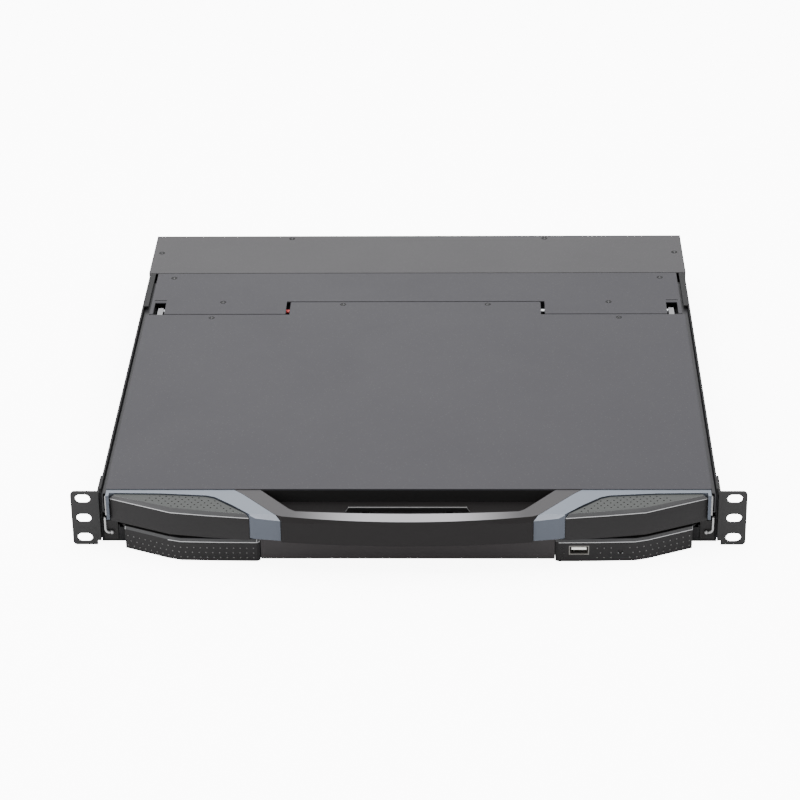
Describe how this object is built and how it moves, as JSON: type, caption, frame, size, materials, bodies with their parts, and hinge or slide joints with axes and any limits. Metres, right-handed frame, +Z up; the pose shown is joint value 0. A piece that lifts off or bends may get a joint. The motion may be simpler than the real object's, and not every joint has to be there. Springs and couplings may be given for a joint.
{
  "type": "rackmount lcd console drawer",
  "caption": "Low rackmount console with a pull-out display lid on a rear hinge and a separate keyboard drawer on ball slides, a recessed pull handle and slotted rack ears.",
  "frame": {"origin": "centre of the rack hole pattern, on the rear (mounting) face of the two ears", "axes": "+X to the right as seen from the front, +Y into the rack, +Z up"},
  "size_m": [0.4826, 0.4888, 0.0434],
  "materials": {
    "black_steel": "black powder coat, fine texture",
    "cover_steel": "satin grey-black paint",
    "lid_steel": "satin grey-black paint",
    "ear_steel": "black powder coat",
    "screw_steel": "black zinc with bright recess",
    "zinc_steel": "bright zinc plate",
    "dark_zinc": "black zinc plate",
    "bearing_steel": "polished steel",
    "black_plastic": "fine moulded grain",
    "silver_plastic": "blue-grey metallic paint",
    "grip_plastic": "moulded grip with raised dots",
    "key_plastic": "matt key plastic",
    "screen_glass": "anti-glare screen",
    "circuit_board": "solder mask",
    "brass_post": "plain brass",
    "cable_jacket": "red insulated wire",
    "port_metal": "nickel plated shell"
  },
  "bodies": {
    "chassis": {"chassis_pan": "black_steel", "rear_cover": "cover_steel", "rear_panel": "cover_steel", "rack_ear_right": "ear_steel", "rack_ear_left": "ear_steel", "case_screws": "screw_steel", "power_inlet": "black_plastic", "rocker_frame": "black_plastic", "console_ports": "port_metal", "main_board": "circuit_board", "board_posts": "brass_post", "power_supply": "circuit_board", "lid_slide_outer": "dark_zinc", "drawer_slide_outer": "zinc_steel"},
    "power_rocker": {"power_rocker": "black_plastic"},
    "lid_outer_cages": {"lid_outer_cages": "bearing_steel"},
    "lid_slide_middle": {"lid_slide_middle": "dark_zinc"},
    "lid_inner_cages": {"lid_inner_cages": "bearing_steel"},
    "lid_carriage": {"lid_slide_inner": "dark_zinc", "carriage_rails": "dark_zinc", "carriage_beam": "black_steel", "hinge_cover": "cover_steel", "hinge_cover_screws": "screw_steel", "hinge_barrels": "bearing_steel", "display_cable": "cable_jacket"},
    "lcd_lid": {"lid_cover": "lid_steel", "lid_screws": "screw_steel", "lid_housing": "black_plastic", "lid_arms": "zinc_steel", "hinge_shafts": "bearing_steel", "lcd_panel": "screen_glass", "lcd_driver": "circuit_board", "osd_board": "circuit_board", "trim_frames": "silver_plastic", "upper_grips": "grip_plastic", "handle_bar": "black_plastic", "handle_cover": "black_plastic"},
    "release_catch": {"release_catch": "black_plastic"},
    "osd_button_1": {"osd_button_1": "black_plastic"},
    "osd_button_2": {"osd_button_2": "black_plastic"},
    "osd_button_3": {"osd_button_3": "black_plastic"},
    "osd_button_4": {"osd_button_4": "black_plastic"},
    "drawer_outer_cages": {"drawer_outer_cages": "bearing_steel"},
    "drawer_slide_middle": {"drawer_slide_middle": "zinc_steel"},
    "drawer_inner_cages": {"drawer_inner_cages": "bearing_steel"},
    "keyboard_drawer": {"drawer_slide_inner": "zinc_steel", "tray_pan": "black_steel", "keyboard_deck": "black_plastic", "keyboard_base": "circuit_board", "keycaps": "key_plastic", "touchpad": "key_plastic", "lower_grip_left": "grip_plastic", "lower_grip_right": "grip_plastic", "lower_strip": "grip_plastic", "usb_port": "port_metal"},
    "enter_key": {"enter_key": "key_plastic"},
    "space_bar": {"space_bar": "key_plastic"},
    "pad_button_left": {"pad_button_left": "black_plastic"},
    "pad_button_right": {"pad_button_right": "black_plastic"},
    "reset_plunger": {"reset_plunger": "black_plastic"}
  },
  "joints": [
    {"name": "lid_slide", "type": "slide", "parent": "chassis", "child": "lid_carriage", "axis": [0, -1, 0], "range_m": [0, 0.34]},
    {"name": "lid_outer_cage_roll", "type": "slide", "parent": "chassis", "child": "lid_outer_cages", "axis": [0, -1, 0], "range_m": [0, 0.085]},
    {"name": "lid_middle_slide", "type": "slide", "parent": "chassis", "child": "lid_slide_middle", "axis": [0, -1, 0], "range_m": [0, 0.17]},
    {"name": "lid_inner_cage_roll", "type": "slide", "parent": "chassis", "child": "lid_inner_cages", "axis": [0, -1, 0], "range_m": [0, 0.255]},
    {"name": "lid_hinge", "type": "hinge", "parent": "lid_carriage", "child": "lcd_lid", "pos_m": [0, 0.30252, 0.0165], "axis": [-1, 0, 0], "range_deg": [0, 115]},
    {"name": "catch_pull", "type": "slide", "parent": "lcd_lid", "child": "release_catch", "axis": [0, -1, 0], "range_m": [0, 0.004], "stiffness_N_per_m": 1000, "springref_m": -0.001},
    {"name": "drawer_slide", "type": "slide", "parent": "chassis", "child": "keyboard_drawer", "axis": [0, -1, 0], "range_m": [0, 0.34]},
    {"name": "drawer_outer_cage_roll", "type": "slide", "parent": "chassis", "child": "drawer_outer_cages", "axis": [0, -1, 0], "range_m": [0, 0.085]},
    {"name": "drawer_middle_slide", "type": "slide", "parent": "chassis", "child": "drawer_slide_middle", "axis": [0, -1, 0], "range_m": [0, 0.17]},
    {"name": "drawer_inner_cage_roll", "type": "slide", "parent": "chassis", "child": "drawer_inner_cages", "axis": [0, -1, 0], "range_m": [0, 0.255]},
    {"name": "enter_press", "type": "slide", "parent": "keyboard_drawer", "child": "enter_key", "axis": [0, 0, -1], "range_m": [0, 0.002], "stiffness_N_per_m": 300, "springref_m": -0.0005},
    {"name": "space_press", "type": "slide", "parent": "keyboard_drawer", "child": "space_bar", "axis": [0, 0, -1], "range_m": [0, 0.002], "stiffness_N_per_m": 300, "springref_m": -0.001},
    {"name": "pad_left_press", "type": "slide", "parent": "keyboard_drawer", "child": "pad_button_left", "axis": [0, 0, -1], "range_m": [0, 0.0008], "stiffness_N_per_m": 1200, "springref_m": -0.0002},
    {"name": "pad_right_press", "type": "slide", "parent": "keyboard_drawer", "child": "pad_button_right", "axis": [0, 0, -1], "range_m": [0, 0.0008], "stiffness_N_per_m": 1200, "springref_m": -0.0002},
    {"name": "reset_press", "type": "slide", "parent": "keyboard_drawer", "child": "reset_plunger", "axis": [0, 1, 0], "range_m": [0, 0.001], "stiffness_N_per_m": 1500, "springref_m": -0.0002},
    {"name": "power_switch", "type": "hinge", "parent": "chassis", "child": "power_rocker", "pos_m": [-0.1424, 0.43742, -0.009], "axis": [1, 0, 0], "range_deg": [0, 18]},
    {"name": "osd_press_1", "type": "slide", "parent": "lcd_lid", "child": "osd_button_1", "axis": [0, 0, 1], "range_m": [0, 0.0005], "stiffness_N_per_m": 3000, "springref_m": -0.0001},
    {"name": "osd_press_2", "type": "slide", "parent": "lcd_lid", "child": "osd_button_2", "axis": [0, 0, 1], "range_m": [0, 0.0005], "stiffness_N_per_m": 3000, "springref_m": -0.0001},
    {"name": "osd_press_3", "type": "slide", "parent": "lcd_lid", "child": "osd_button_3", "axis": [0, 0, 1], "range_m": [0, 0.0005], "stiffness_N_per_m": 3000, "springref_m": -0.0001},
    {"name": "osd_press_4", "type": "slide", "parent": "lcd_lid", "child": "osd_button_4", "axis": [0, 0, 1], "range_m": [0, 0.0005], "stiffness_N_per_m": 3000, "springref_m": -0.0001}
  ],
  "couplings": [
    {"joint": "lid_outer_cage_roll", "follows": "lid_slide", "ratio": 0.25},
    {"joint": "lid_middle_slide", "follows": "lid_slide", "ratio": 0.5},
    {"joint": "lid_inner_cage_roll", "follows": "lid_slide", "ratio": 0.75},
    {"joint": "drawer_outer_cage_roll", "follows": "drawer_slide", "ratio": 0.25},
    {"joint": "drawer_middle_slide", "follows": "drawer_slide", "ratio": 0.5},
    {"joint": "drawer_inner_cage_roll", "follows": "drawer_slide", "ratio": 0.75}
  ]
}
